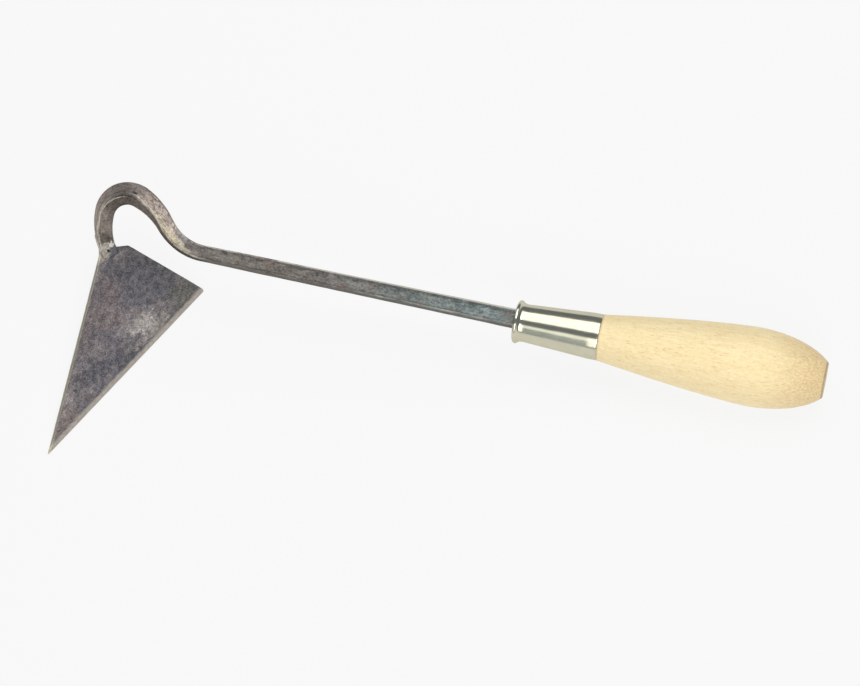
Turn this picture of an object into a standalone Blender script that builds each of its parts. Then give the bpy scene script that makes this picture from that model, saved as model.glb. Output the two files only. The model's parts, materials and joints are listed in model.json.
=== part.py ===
"""Gooseneck hand hoe: a triangular blade on a forged square bar, with a ferrule and a turned handle.

The tool is modelled in the shank's own frame: +X runs along the straight shank towards the butt,
the origin is the middle of the ferrule's mouth, and +Z points away from the ground side. At the end
the whole tool is turned and moved so that it lies at rest on the plane Z = 0.
"""

import math

import bmesh
import bpy
from mathutils import Matrix, Vector

MM = 0.001
GAP = 0.3 * MM

# Forged bar: square section with rounded edges, sizes across the flats.
BAR_NOMINAL = 7.0 * MM
BAR_EDGE_RADIUS = 0.95 * MM
TANG_LENGTH = 62.0 * MM
TANG_POINT = 5.0 * MM
# Bar frame roll that stands its flats 10 degrees off the shank frame's own axes.
BAR_ROLL = math.radians(10.0)

# Stretches from the tang's tip to the foot on the blade:
# length, then heading, dip, bar size and extra twist at the stretch's end.
BAR_START = (180.0, 0.0, 1.2 * MM, 0.0)
BAR_STRETCHES = (
    (TANG_POINT, 180.0, 0.0, 3.2 * MM, 0.0),
    (TANG_LENGTH - TANG_POINT, 180.0, 0.0, 7.7 * MM, 0.0),
    (148.0 * MM, 180.0, 0.0, 6.6 * MM, 0.0),
    (22.4 * MM, 130.0, 5.0, 6.9 * MM, 16.0),
    (17.5 * MM, 160.0, -6.0, 8.0 * MM, 26.0),
    (25.0 * MM, 257.0, -32.0, 7.7 * MM, 8.0),
    (23.5 * MM, 290.0, -48.0, 7.2 * MM, 0.0),
)
BEND_STEP = 1.5 * MM
STRAIGHT_STEP = 16.0 * MM
BORE_RUNOUT = 6.0 * MM

# Blade plate in its own plane: X along the cutting edge from the tip, Z = 0 on the upper face.
BLADE_THICKNESS = 2.4 * MM
BLADE_PLACE = Vector((-203.8, -105.9, -10.2)) * MM
BLADE_TURN = (math.radians(18.9), math.radians(15.4), math.radians(61.5))
BLADE_CORNERS = (
    # X, Y and corner radius of each outline corner, anticlockwise from the tip
    (0.0, 0.0, 0.3),
    (106.2, 0.0, 1.0),
    (96.4, 40.3, 2.6),
    (91.5, 44.3, 1.6),
    (93.4, 48.1, 1.8),
    (89.2, 52.4, 1.8),
    (83.5, 46.6, 3.0),
)
BLADE_LEFT_END = Vector((82.5, 46.1, 0.0)) * MM
# Ground bevels: width on the upper face and drop at the edge.
CUTTING_BEVEL = (2.8 * MM, 1.8 * MM)
LEFT_BEVEL = (0.9 * MM, 1.2 * MM)
BEVEL_BLOCK = 12.0 * MM
BEVEL_OVERRUN = 10.0 * MM

# Weld metal in the blade plane's frame: centre, half-sizes and turn about the plate's normal.
FACE_BEAD = (Vector((88.0, 46.6, 0.6)) * MM, (4.3 * MM, 4.7 * MM, 4.4 * MM), math.radians(-18.0))
BACK_BEAD = (Vector((91.8, 51.2, -1.0)) * MM, (3.9 * MM, 2.2 * MM, 1.7 * MM), math.radians(-45.0))
BEAD_SEGMENTS = 20
BEAD_RINGS = 12
# Block that trims the pieces meeting at the weld.
TRIM_CENTRE = Vector((90.0, 45.0, 0.0)) * MM
TRIM_SIZE = (40.0 * MM, 40.0 * MM, 20.0 * MM)

# Handle axis: crosses the shank's axis inside the handle, because the tang sits slightly askew.
AXIS_CROSSING = 53.0 * MM
AXIS_SKEW = math.radians(1.0)

# Ferrule: tapered sheet-metal sleeve. Pairs are a distance from the mouth and the outer radius there.
FERRULE_WALL = 0.8 * MM
BEAD_TUBE = 1.05 * MM
BEAD_OUTER = 9.63 * MM
FERRULE_THROAT = (1.8 * MM, 8.6 * MM)
FERRULE_FRONT = (3.2 * MM, 8.35 * MM)
FERRULE_FULL = (33.0 * MM, 10.2 * MM)
FERRULE_REAR = 37.7 * MM
FERRULE_LIP = 1.2 * MM
# Section arcs of the rolled mouth and the turned-in lip: start and end in degrees, and steps.
MOUTH_ARC = (50, -190, 10)
LIP_ARC = (75, 0, 4)

# Handle wood, distances from the mouth.
TENON_START = 2.0 * MM
TENON_STEP = 0.6 * MM
NECK_RADIUS = 10.3 * MM
BELLY_PLACE = 104.0 * MM
BELLY_RADIUS = 17.3 * MM
FLANK_POWER = 1.37
BUTT_PLACE = 135.7 * MM
BUTT_ELLIPSE = 35.3 * MM
BUTT_EDGE_RADIUS = 1.0 * MM
# Angle between the dome's normal and its radius where the rounded rim starts.
BUTT_EDGE_SLOPE = 41.0

TURNED_STEPS = 48
PROFILE_STEPS = 10
RIM_STEPS = 3

PART_COLLECTION = "gooseneck_hand_hoe"
CUTTER_COLLECTION = "cutters"


def clear_scene():
    for obj in list(bpy.data.objects):
        bpy.data.objects.remove(obj, do_unlink=True)
    for name in (PART_COLLECTION, CUTTER_COLLECTION):
        old = bpy.data.collections.get(name)
        if old:
            bpy.data.collections.remove(old)
        bpy.context.scene.collection.children.link(bpy.data.collections.new(name))


def link(obj, collection=PART_COLLECTION):
    bpy.data.collections[collection].objects.link(obj)
    return obj


def material(name, colour, roughness, metallic):
    mat = bpy.data.materials.new(name)
    mat.use_nodes = True
    shader = mat.node_tree.nodes["Principled BSDF"]
    shader.inputs["Base Color"].default_value = (*colour, 1.0)
    shader.inputs["Roughness"].default_value = roughness
    shader.inputs["Metallic"].default_value = metallic
    return mat


def empty(name, parent, place=(0.0, 0.0, 0.0), turn=(0.0, 0.0, 0.0)):
    obj = link(bpy.data.objects.new(name, None))
    obj.parent = parent
    obj.location = place
    obj.rotation_euler = turn
    return obj


def as_cutter(obj):
    obj.hide_render = True
    obj.display_type = "WIRE"
    return obj


def cut(obj, cutter, operation="DIFFERENCE"):
    boolean = obj.modifiers.new("cut_" + cutter.name, "BOOLEAN")
    boolean.operation = operation
    boolean.object = cutter
    boolean.solver = "EXACT"


def curve_to_mesh(curve_obj, collection):
    """Replace a curve object by its evaluated mesh, with the loose caps welded on."""
    bpy.context.view_layer.update()
    evaluated = curve_obj.evaluated_get(bpy.context.evaluated_depsgraph_get())
    mesh = bpy.data.meshes.new_from_object(evaluated)
    bm = bmesh.new()
    bm.from_mesh(mesh)
    bmesh.ops.remove_doubles(bm, verts=bm.verts, dist=0.001 * MM)
    bmesh.ops.recalc_face_normals(bm, faces=bm.faces)
    bm.to_mesh(mesh)
    bm.free()
    obj = link(bpy.data.objects.new(curve_obj.name, mesh), collection)
    obj.parent = curve_obj.parent
    obj.location = curve_obj.location
    obj.rotation_euler = curve_obj.rotation_euler
    name = curve_obj.name
    bpy.data.objects.remove(curve_obj)
    obj.name = name
    return obj


def smooth(obj, angle=35.0):
    obj.data.shade_smooth()
    obj.data.set_sharp_from_angle(angle=math.radians(angle))


def arc(centre, radius, start, end, steps):
    """Points on a circle arc from one angle to another, both in degrees."""
    points = []
    for i in range(steps + 1):
        angle = math.radians(start + (end - start) * i / steps)
        points.append((centre[0] + radius * math.cos(angle), centre[1] + radius * math.sin(angle)))
    return points


def rounded_outline(corners, steps=4):
    """A closed outline whose corners (x, y, radius) are each replaced by a tangent arc."""
    outline = []
    count = len(corners)
    for i, (x, y, radius) in enumerate(corners):
        corner = Vector((x, y))
        before = (Vector(corners[i - 1][:2]) - corner).normalized()
        after = (Vector(corners[(i + 1) % count][:2]) - corner).normalized()
        half_angle = before.angle(after) / 2
        reach = radius / math.tan(half_angle)
        centre = corner + (before + after).normalized() * radius / math.sin(half_angle)
        start = corner + before * reach - centre
        sweep = start.angle_signed(corner + after * reach - centre)
        for step in range(steps + 1):
            outline.append(centre + Matrix.Rotation(-sweep * step / steps, 2) @ start)
    return outline


def poly_curve(name, points, cyclic, dimensions):
    curve = bpy.data.curves.new(name, "CURVE")
    curve.dimensions = dimensions
    spline = curve.splines.new("POLY")
    spline.points.add(len(points) - 1)
    for spline_point, point in zip(spline.points, points):
        spline_point.co = (point[0], point[1], point[2] if len(point) > 2 else 0.0, 1.0)
    spline.use_cyclic_u = cyclic
    return curve


def block_cutter(name, parent, size, place):
    bpy.ops.mesh.primitive_cube_add(size=1.0)
    block = bpy.context.object
    block.name = name
    for collection in list(block.users_collection):
        collection.objects.unlink(block)
    link(block, CUTTER_COLLECTION)
    block.data.transform(Matrix.Diagonal((*size, 1.0)))
    block.parent = parent
    block.location = place
    return as_cutter(block)


def trim_block(name, blade_plane, level, side):
    """A block round the weld with one face at a height over the blade, above it (1) or below it (-1)."""
    rise = Vector((0.0, 0.0, level + side * TRIM_SIZE[2] / 2))
    return block_cutter(name, blade_plane, TRIM_SIZE, TRIM_CENTRE + rise)


# ---------------------------------------------------------------- forged bar

def bar_route(stretches, grow=0.0):
    """Points, bar sizes and twists along the bar, bent evenly within each stretch."""
    heading, dip, size, twist = BAR_START
    place = Vector((TANG_LENGTH, 0.0, 0.0))
    route = [(place.copy(), size + grow, twist)]
    for length, next_heading, next_dip, next_size, next_twist in stretches:
        bends = next_heading != heading or next_dip != dip
        steps = max(2, round(length / (BEND_STEP if bends else STRAIGHT_STEP)))
        for i in range(steps):
            middle = (i + 0.5) / steps
            yaw = math.radians(heading + (next_heading - heading) * middle)
            rise = math.radians(dip + (next_dip - dip) * middle)
            way = Vector((math.cos(yaw) * math.cos(rise), math.sin(yaw) * math.cos(rise), math.sin(rise)))
            place = place + way * (length / steps)
            share = (i + 1) / steps
            here = size + (next_size - size) * share + grow
            route.append((place.copy(), here, twist + (next_twist - twist) * share))
        heading, dip, size, twist = next_heading, next_dip, next_size, next_twist
    return route


def square_bar(name, route, tool, collection):
    """Sweep the rounded square along a route and return it as a closed mesh object."""
    half = BAR_NOMINAL / 2
    square = [(sx * half, sy * half, BAR_EDGE_RADIUS) for sx, sy in ((-1, -1), (1, -1), (1, 1), (-1, 1))]
    section = bpy.data.objects.new(
        name + "_section", poly_curve(name + "_section", rounded_outline(square, 2), True, "2D")
    )
    as_cutter(link(section, CUTTER_COLLECTION))
    curve = poly_curve(name, [place for place, _, _ in route], False, "3D")
    curve.bevel_mode = "OBJECT"
    curve.bevel_object = section
    curve.use_fill_caps = True
    curve.twist_mode = "MINIMUM"
    for spline_point, (_, size, twist) in zip(curve.splines[0].points, route):
        spline_point.radius = size / BAR_NOMINAL
        spline_point.tilt = BAR_ROLL + math.radians(twist)
    bar = link(bpy.data.objects.new(name, curve), collection)
    bar.parent = tool
    return curve_to_mesh(bar, collection)


def make_shank(tool, plate_level, steel):
    shank = square_bar("gooseneck_shank", bar_route(BAR_STRETCHES), tool, PART_COLLECTION)
    cut(shank, plate_level)
    shank.data.materials.append(steel)
    smooth(shank)
    return shank


# ---------------------------------------------------------------- blade

def bevel_cutter(name, blade_plane, start, end, bevel):
    """A block whose lower face is the ground bevel along the edge from start to end."""
    width, drop = bevel
    along = (end - start).normalized()
    yaw = math.atan2(along.y, along.x)
    lean = math.atan2(drop, width)
    length = (end - start).length
    block = block_cutter(name, blade_plane, (length, BEVEL_BLOCK, BEVEL_BLOCK), (0.0, 0.0, 0.0))
    block.data.transform(Matrix.Translation((length / 2, 0.0, BEVEL_BLOCK / 2)))
    block.location = start + Vector((0.0, 0.0, -drop))
    block.rotation_euler = (lean, 0.0, yaw)
    return block


def blade_outline(name, blade_plane, half_thickness, collection):
    """The blade's outline as a filled curve, extruded both ways from the blade plane."""
    corners = [(x * MM, y * MM, radius * MM) for x, y, radius in BLADE_CORNERS]
    outline = poly_curve(name, rounded_outline(corners), True, "2D")
    outline.fill_mode = "BOTH"
    outline.extrude = half_thickness
    plate = link(bpy.data.objects.new(name, outline), collection)
    plate.parent = blade_plane
    return plate


def make_blade(blade_plane, steel):
    plate = blade_outline("blade", blade_plane, BLADE_THICKNESS / 2, PART_COLLECTION)
    plate.location.z = -BLADE_THICKNESS / 2
    blade = curve_to_mesh(plate, PART_COLLECTION)
    tip = Vector((0.0, 0.0, 0.0))
    right = Vector((BLADE_CORNERS[1][0] * MM, 0.0, 0.0))
    overrun = Vector((BEVEL_OVERRUN, 0.0, 0.0))
    cut(blade, bevel_cutter("cutting_bevel", blade_plane, tip - overrun, right + overrun, CUTTING_BEVEL))
    past_tip = -BLADE_LEFT_END.normalized() * BEVEL_OVERRUN
    cut(blade, bevel_cutter("left_bevel", blade_plane, BLADE_LEFT_END, past_tip, LEFT_BEVEL))
    blade.data.materials.append(steel)
    return blade


# ---------------------------------------------------------------- weld metal

def bead_blob(name, blade_plane, shape, steel):
    centre, half_sizes, turn = shape
    mesh = bpy.data.meshes.new(name)
    bm = bmesh.new()
    bmesh.ops.create_uvsphere(bm, u_segments=BEAD_SEGMENTS, v_segments=BEAD_RINGS, radius=1.0)
    bmesh.ops.scale(bm, vec=half_sizes, verts=bm.verts)
    bm.to_mesh(mesh)
    bm.free()
    blob = link(bpy.data.objects.new(name, mesh))
    blob.parent = blade_plane
    blob.location = centre
    blob.rotation_euler = (0.0, 0.0, turn)
    blob.data.materials.append(steel)
    return blob


def make_welds(tool, blade_plane, plate_level, steel):
    """A bead over the toe of the bar's foot and one between its heel and the end of the tab."""
    bar_clearance = square_bar("bar_clearance", bar_route(BAR_STRETCHES, 2 * GAP), tool, CUTTER_COLLECTION)
    face = bead_blob("weld_bead_face", blade_plane, FACE_BEAD, steel)
    cut(face, plate_level)
    cut(face, as_cutter(bar_clearance))
    back = bead_blob("weld_bead_back", blade_plane, BACK_BEAD, steel)
    cut(back, trim_block("foot_level", blade_plane, 0.0, 1))
    plate_clearance = blade_outline("plate_clearance", blade_plane, 2 * BLADE_THICKNESS, CUTTER_COLLECTION)
    plate_clearance.data.offset = GAP
    cut(back, as_cutter(curve_to_mesh(plate_clearance, CUTTER_COLLECTION)))
    return face, back


# ---------------------------------------------------------------- turned parts

def turned(name, profile, closed, axis, collection=PART_COLLECTION):
    """Turn a profile of (radius, height) points, listed down the outer side, about the local Z axis."""
    mesh = bpy.data.meshes.new(name)
    points = [(radius, 0.0, height) for radius, height in profile]
    edges = [(i, i + 1) for i in range(len(points) - 1)]
    if closed:
        edges.append((len(points) - 1, 0))
    mesh.from_pydata(points, edges, [])
    obj = link(bpy.data.objects.new(name, mesh), collection)
    obj.parent = axis
    screw = obj.modifiers.new("turn", "SCREW")
    screw.axis = "Z"
    screw.steps = TURNED_STEPS
    screw.render_steps = TURNED_STEPS
    screw.use_merge_vertices = True
    screw.merge_threshold = 0.00001
    screw.use_smooth_shade = True
    return obj


def ferrule_radius(place):
    """Outer radius of the ferrule's straight taper."""
    (front, front_radius), (full, full_radius) = FERRULE_FRONT, FERRULE_FULL
    share = (place - front) / (full - front)
    return front_radius + (full_radius - front_radius) * share


def make_ferrule(axis, plated):
    front, front_radius = FERRULE_FRONT
    full, rear_radius = FERRULE_FULL
    lip_start = FERRULE_REAR - FERRULE_LIP
    outer = arc((rear_radius - FERRULE_LIP, lip_start), FERRULE_LIP, *LIP_ARC)
    outer += [FERRULE_FULL[::-1], FERRULE_FRONT[::-1], FERRULE_THROAT[::-1]]
    mouth = arc((BEAD_OUTER - BEAD_TUBE, 0.0), BEAD_TUBE, *MOUTH_ARC)
    inner = [(front_radius - FERRULE_WALL, front), (rear_radius - FERRULE_WALL, full)]
    inner += [(rear_radius - FERRULE_WALL, lip_start)]
    ferrule = turned("ferrule", outer + mouth + inner, True, axis)
    ferrule.data.materials.append(plated)
    return ferrule


def wood_radius(place):
    """Radius of the handle: a swelling flank up to the belly, then a quarter of an ellipse."""
    if place < BELLY_PLACE:
        share = (BELLY_PLACE - place) / (BELLY_PLACE - FERRULE_REAR)
        return BELLY_RADIUS - (BELLY_RADIUS - NECK_RADIUS) * share ** FLANK_POWER
    return BELLY_RADIUS * math.sqrt(1 - ((place - BELLY_PLACE) / BUTT_ELLIPSE) ** 2)


def make_handle(axis, tool, wood):
    slope = math.radians(BUTT_EDGE_SLOPE)
    rim = BUTT_PLACE - BUTT_EDGE_RADIUS * (1 - math.sin(slope))
    flat_radius = wood_radius(rim) - BUTT_EDGE_RADIUS * math.cos(slope)
    rim_centre = (flat_radius, BUTT_PLACE - BUTT_EDGE_RADIUS)
    profile = [(0.0, BUTT_PLACE), *arc(rim_centre, BUTT_EDGE_RADIUS, 90, BUTT_EDGE_SLOPE, RIM_STEPS)]
    for i in range(1, PROFILE_STEPS):
        angle = math.asin((rim - BELLY_PLACE) / BUTT_ELLIPSE) * (1 - i / PROFILE_STEPS)
        place = BELLY_PLACE + BUTT_ELLIPSE * math.sin(angle)
        profile.append((wood_radius(place), place))
    shoulder = FERRULE_REAR + GAP
    for i in range(PROFILE_STEPS + 1):
        place = BELLY_PLACE + (shoulder - BELLY_PLACE) * i / PROFILE_STEPS
        profile.append((wood_radius(place), place))
    tenon_rear = FERRULE_FULL[1] - FERRULE_WALL - GAP - TENON_STEP
    tenon_front = ferrule_radius(TENON_START) - FERRULE_WALL - GAP
    profile += [(tenon_rear, shoulder), (tenon_rear, FERRULE_REAR - FERRULE_LIP)]
    profile += [(tenon_front, TENON_START), (0.0, TENON_START)]
    handle = turned("handle", profile, False, axis)
    bore_route = bar_route(BAR_STRETCHES[:2], 2 * GAP)
    tip_gap = Vector((2 * GAP, 0.0, 0.0))
    bore_route[0] = (bore_route[0][0] + tip_gap, *bore_route[0][1:])
    bore_route.append((Vector((-BORE_RUNOUT, 0.0, 0.0)), bore_route[-1][1], 0.0))
    cut(handle, as_cutter(square_bar("tang_bore", bore_route, tool, CUTTER_COLLECTION)))
    handle.data.materials.append(wood)
    return handle


# ---------------------------------------------------------------- rest pose

def world_points(obj):
    evaluated = obj.evaluated_get(bpy.context.evaluated_depsgraph_get())
    mesh = evaluated.to_mesh()
    points = [obj.matrix_world @ vertex.co for vertex in mesh.vertices]
    evaluated.to_mesh_clear()
    return points


def lay_at_rest(tool, blade_plane, handle_axis, handle, parts):
    """Turn the tool about its cutting edge until the handle's belly touches the same plane."""
    bpy.context.view_layer.update()
    underside = Vector((0.0, 0.0, -BLADE_THICKNESS))
    tip = blade_plane.matrix_world @ underside
    corner = blade_plane.matrix_world @ (underside + Vector((BLADE_CORNERS[1][0] * MM, 0.0, 0.0)))
    edge = corner - tip
    up = Vector((0.0, 0.0, 1.0))
    for point in world_points(handle):
        if (point - tip).dot(up) < 0.0:
            up = edge.cross(point - tip).normalized()
            if up.z < 0.0:
                up = -up
    forward = handle_axis.matrix_world.to_3x3() @ Vector((0.0, 0.0, 1.0))
    forward = (forward - up * forward.dot(up)).normalized()
    to_world = Matrix((forward, up.cross(forward), up))
    tool.rotation_euler = to_world.to_euler()
    bpy.context.view_layer.update()
    points = [point for part in parts for point in world_points(part)]
    low = [min(point[i] for point in points) for i in range(3)]
    high = [max(point[i] for point in points) for i in range(3)]
    tool.location = (-(low[0] + high[0]) / 2, -(low[1] + high[1]) / 2, -low[2])
    bpy.context.view_layer.update()


def main():
    clear_scene()
    blade_steel = material("blackened_steel", (0.10, 0.10, 0.11), 0.45, 0.9)
    bar_steel = material("forged_steel", (0.20, 0.19, 0.18), 0.4, 0.9)
    weld_steel = material("weld_metal", (0.45, 0.42, 0.38), 0.5, 0.9)
    plated = material("plated_ferrule", (0.78, 0.78, 0.72), 0.15, 1.0)
    wood = material("pale_beech", (0.80, 0.65, 0.42), 0.6, 0.0)

    tool = empty("tool", None)
    blade_plane = empty("blade_plane", tool, BLADE_PLACE, BLADE_TURN)
    skew = empty("axis_skew", tool, (AXIS_CROSSING, 0.0, 0.0), (0.0, 0.0, AXIS_SKEW))
    handle_axis = empty("handle_axis", skew, (-AXIS_CROSSING, 0.0, 0.0), (0.0, math.pi / 2, 0.0))

    plate_level = trim_block("plate_level", blade_plane, GAP, -1)
    blade = make_blade(blade_plane, blade_steel)
    shank = make_shank(tool, plate_level, bar_steel)
    face_bead, back_bead = make_welds(tool, blade_plane, plate_level, weld_steel)
    ferrule = make_ferrule(handle_axis, plated)
    handle = make_handle(handle_axis, tool, wood)
    lay_at_rest(tool, blade_plane, handle_axis, handle, (blade, shank, face_bead, back_bead, ferrule, handle))


main()
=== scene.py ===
"""Looks of the gooseneck hand hoe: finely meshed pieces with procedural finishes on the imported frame.

Each piece is built in the tool's own frames, which are found again from the record's two mounts, and
its vertices are written in the row frame. Every mesh carries an attribute named "local" with the
point's place on the unbent, unturned piece, in metres, and all patterns read that attribute.
"""

import json
import math

import bpy
import numpy as np
from mathutils import Euler, Matrix, Vector, geometry, noise
from mathutils.kdtree import KDTree


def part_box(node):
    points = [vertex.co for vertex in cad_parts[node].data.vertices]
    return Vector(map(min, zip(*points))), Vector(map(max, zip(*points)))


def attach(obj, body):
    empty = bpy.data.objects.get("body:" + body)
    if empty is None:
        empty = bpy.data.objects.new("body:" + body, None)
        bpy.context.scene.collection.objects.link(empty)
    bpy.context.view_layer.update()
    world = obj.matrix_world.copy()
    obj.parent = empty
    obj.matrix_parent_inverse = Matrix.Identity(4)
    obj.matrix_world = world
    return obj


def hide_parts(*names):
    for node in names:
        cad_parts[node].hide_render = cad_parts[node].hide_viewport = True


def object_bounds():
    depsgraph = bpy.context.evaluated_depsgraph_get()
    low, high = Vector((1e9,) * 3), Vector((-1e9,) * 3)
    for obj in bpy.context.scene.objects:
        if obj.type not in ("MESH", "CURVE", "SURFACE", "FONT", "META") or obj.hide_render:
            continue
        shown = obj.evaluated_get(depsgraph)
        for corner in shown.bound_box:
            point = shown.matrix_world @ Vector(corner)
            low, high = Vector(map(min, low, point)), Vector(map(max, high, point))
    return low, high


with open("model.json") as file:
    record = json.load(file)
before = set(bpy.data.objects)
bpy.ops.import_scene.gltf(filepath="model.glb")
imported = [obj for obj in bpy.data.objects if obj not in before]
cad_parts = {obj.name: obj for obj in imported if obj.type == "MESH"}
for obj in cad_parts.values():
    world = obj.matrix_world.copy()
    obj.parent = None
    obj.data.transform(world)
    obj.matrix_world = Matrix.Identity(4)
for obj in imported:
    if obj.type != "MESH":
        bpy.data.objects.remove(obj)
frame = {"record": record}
cad_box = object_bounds()

MM = 0.001
GAP = 0.3 * MM

# Forged bar, as in the CAD model: sizes across the flats, lengths from the mouth of the ferrule.
BAR_NOMINAL = 7.0 * MM
BAR_EDGE_RADIUS = 0.95 * MM
TANG_LENGTH = 62.0 * MM
TANG_POINT = 5.0 * MM
BAR_ROLL = 10.0
# Each stretch: length, then heading, dip, bar size and extra twist at its end.
BAR_START = (180.0, 0.0, 1.2 * MM, 0.0)
BAR_STRETCHES = (
    (TANG_POINT, 180.0, 0.0, 3.2 * MM, 0.0),
    (TANG_LENGTH - TANG_POINT, 180.0, 0.0, 7.7 * MM, 0.0),
    (148.0 * MM, 180.0, 0.0, 6.6 * MM, 0.0),
    (22.4 * MM, 130.0, 5.0, 6.9 * MM, 16.0),
    (17.5 * MM, 160.0, -6.0, 8.0 * MM, 26.0),
    (25.0 * MM, 257.0, -32.0, 7.7 * MM, 8.0),
    (23.5 * MM, 290.0, -48.0, 7.2 * MM, 0.0),
)
BAR_SAMPLE = 0.25 * MM
BAR_RING = 0.7 * MM
BAR_TRIM_ZONE = 16.0 * MM
# The inner corner is worn to a flat round the loop: its range along the bar, direction and level.
WORN_FLAT = (186.0 * MM, 218.0 * MM)
WORN_WAY = (-0.949, -0.316)
WORN_LEVEL = 3.80 * MM
FOOT_SINK = 0.6 * MM
SIDE_POINTS = 7
CORNER_POINTS = 7

# Blade, as in the CAD model: X along the cutting edge from the tip, Z = 0 on the upper face.
BLADE_THICKNESS = 2.4 * MM
BLADE_PLACE = Vector((-203.8, -105.9, -10.2)) * MM
BLADE_TURN = (18.9, 15.4, 61.5)
BLADE_CORNERS = (
    (0.0, 0.0, 0.3),
    (106.2, 0.0, 1.0),
    (96.4, 40.3, 2.6),
    (91.5, 44.3, 1.6),
    (93.4, 48.1, 1.8),
    (89.2, 52.4, 1.8),
    (83.5, 46.6, 3.0),
)
BLADE_LEFT_END = Vector((82.5, 46.1)) * MM
CUTTING_BEVEL = (2.8 * MM, 1.8 * MM)
LEFT_BEVEL = (0.9 * MM, 1.2 * MM)
LEFT_BEVEL_FADE = 6.0 * MM
CREASE_ROUNDING = 0.7 * MM
BLADE_SPACING = 0.8 * MM
RIM_SPACING = 0.4 * MM
TIP_REACH = 8.0 * MM
BLADE_ROUNDING = 0.15 * MM

# Weld metal, as in the CAD model, in the blade's frame: centre, half sizes and turn in degrees.
FACE_BEAD = ((88.0, 46.6, 0.6), (4.3, 4.7, 4.4), -18.0)
BACK_BEAD = ((91.8, 51.2, -1.0), (3.9, 2.2, 1.7), -45.0)
# Small bright drops on the foot of the bar: place as length, u and v on the bar, then half sizes.
WELD_DROPS = (
    ((228.0, -3.6, 2.0), (0.40, 0.95, 0.45)),
    ((229.2, -3.7, 2.5), (0.35, 0.35, 0.35)),
    ((230.0, -3.7, 1.7), (0.60, 0.55, 0.45)),
)
WELD_PIT = (232.5, -3.7, -0.2)

# Handle axis, ferrule and wood, as in the CAD model: distances from the mouth.
AXIS_CROSSING = 53.0 * MM
AXIS_SKEW = 1.0
FERRULE_WALL = 0.8 * MM
BEAD_TUBE = 1.05 * MM
BEAD_OUTER = 9.63 * MM
FERRULE_THROAT = (1.8 * MM, 8.6 * MM)
FERRULE_FRONT = (3.2 * MM, 8.35 * MM)
FERRULE_FULL = (33.0 * MM, 10.2 * MM)
FERRULE_REAR = 37.7 * MM
FERRULE_LIP = 1.2 * MM
TENON_START = 2.0 * MM
NECK_RADIUS = 10.3 * MM
BELLY_PLACE = 104.0 * MM
BELLY_RADIUS = 17.3 * MM
FLANK_POWER = 1.37
BUTT_PLACE = 135.7 * MM
BUTT_ELLIPSE = 35.3 * MM
BUTT_EDGE_RADIUS = 1.0 * MM
BUTT_EDGE_SLOPE = 41.0
TURNED_POINTS = 144

# Camera: a long lens above and to the right of the butt end, rolled clockwise.
CAMERA_AZIMUTH = 39.29
CAMERA_ELEVATION = 63.39
CAMERA_ROLL = 27.17
CAMERA_DISTANCE = 1.051
CAMERA_LENS = 100.0
CAMERA_SENSOR = 36.0
CAMERA_TARGET = Vector((1.64, 13.33, 2.48)) * MM
LIGHT_DISTANCE = 1.6


# ---------------------------------------------------------------- frames

def triad(first, second):
    """Three perpendicular axes, as columns, fixed by two directions."""
    a = Vector(first).normalized()
    c = a.cross(Vector(second)).normalized()
    return Matrix((a, c.cross(a), c)).transposed()


def tool_frames():
    """The shank's, handle's and blade's frames in the row frame, from the record's two mounts."""
    mounts = {mount["name"]: mount for mount in frame["record"]["mounts"]}
    crossing = Matrix.Translation((AXIS_CROSSING, 0.0, 0.0))
    skew = crossing @ Matrix.Rotation(math.radians(AXIS_SKEW), 4, "Z") @ crossing.inverted()
    handle_local = skew @ Matrix.Rotation(math.pi / 2, 4, "Y")
    turn = Euler([math.radians(angle) for angle in BLADE_TURN]).to_matrix().to_4x4()
    blade_local = Matrix.Translation(BLADE_PLACE) @ turn
    local = triad(handle_local.col[2][:3], -blade_local.col[2].xyz)
    world = triad(mounts["handle_butt"]["axis"], mounts["blade_back"]["axis"])
    rotation = world @ local.transposed()
    butt = handle_local @ Vector((0.0, 0.0, BUTT_PLACE))
    place = Vector(mounts["handle_butt"]["pos_m"]) - rotation @ butt
    shank = Matrix.Translation(place) @ rotation.to_4x4()
    return shank, shank @ handle_local, shank @ blade_local


def moved(matrix, points):
    """Points of shape (n, 3) taken through a 4 x 4 matrix."""
    grid = np.array(matrix)
    return np.asarray(points, float) @ grid[:3, :3].T + grid[:3, 3]


SHANK_FRAME, HANDLE_FRAME, BLADE_FRAME = tool_frames()


# ---------------------------------------------------------------- mesh helpers

def relief(points, layers, seed):
    """Heights of smooth random relief at each point: layers of (size, height) in metres."""
    shift = Vector((17.3, -9.1, 5.7)) * seed
    heights = np.zeros(len(points))
    for size, height in layers:
        for i, point in enumerate(points):
            heights[i] += height * noise.noise(Vector(point) / size + shift)
    return heights


def piece(name, points, faces, local, finish, node, sharp=None):
    """A finished piece: a mesh in the row frame that stands for one CAD node."""
    points = np.clip(np.asarray(points, float), cad_box[0], cad_box[1])
    mesh = bpy.data.meshes.new(name)
    mesh.from_pydata(points.tolist(), [], faces)
    attribute = mesh.attributes.new("local", "FLOAT_VECTOR", "POINT")
    attribute.data.foreach_set("vector", np.asarray(local, np.float32).ravel())
    mesh.materials.append(finish)
    mesh.shade_smooth()
    if sharp:
        mesh.set_sharp_from_angle(angle=math.radians(sharp))
    obj = bpy.data.objects.new(name, mesh)
    bpy.context.scene.collection.objects.link(obj)
    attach(obj, "root")
    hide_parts(node)
    return obj


def ring_faces(rings, around, first=0, loop=False):
    """Quads between successive rings of the same count of points."""
    faces = []
    for r in range(rings if loop else rings - 1):
        a = first + r * around
        b = first + (r + 1) % rings * around
        for k in range(around):
            following = (k + 1) % around
            faces.append((a + k, b + k, b + following, a + following))
    return faces


def arc(centre, radius, start, end, steps):
    """Points on a circle arc from one angle to another, both in degrees."""
    angles = np.radians(np.linspace(start, end, steps + 1))
    return [(centre[0] + radius * math.cos(a), centre[1] + radius * math.sin(a)) for a in angles]


# ---------------------------------------------------------------- forged bar

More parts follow.
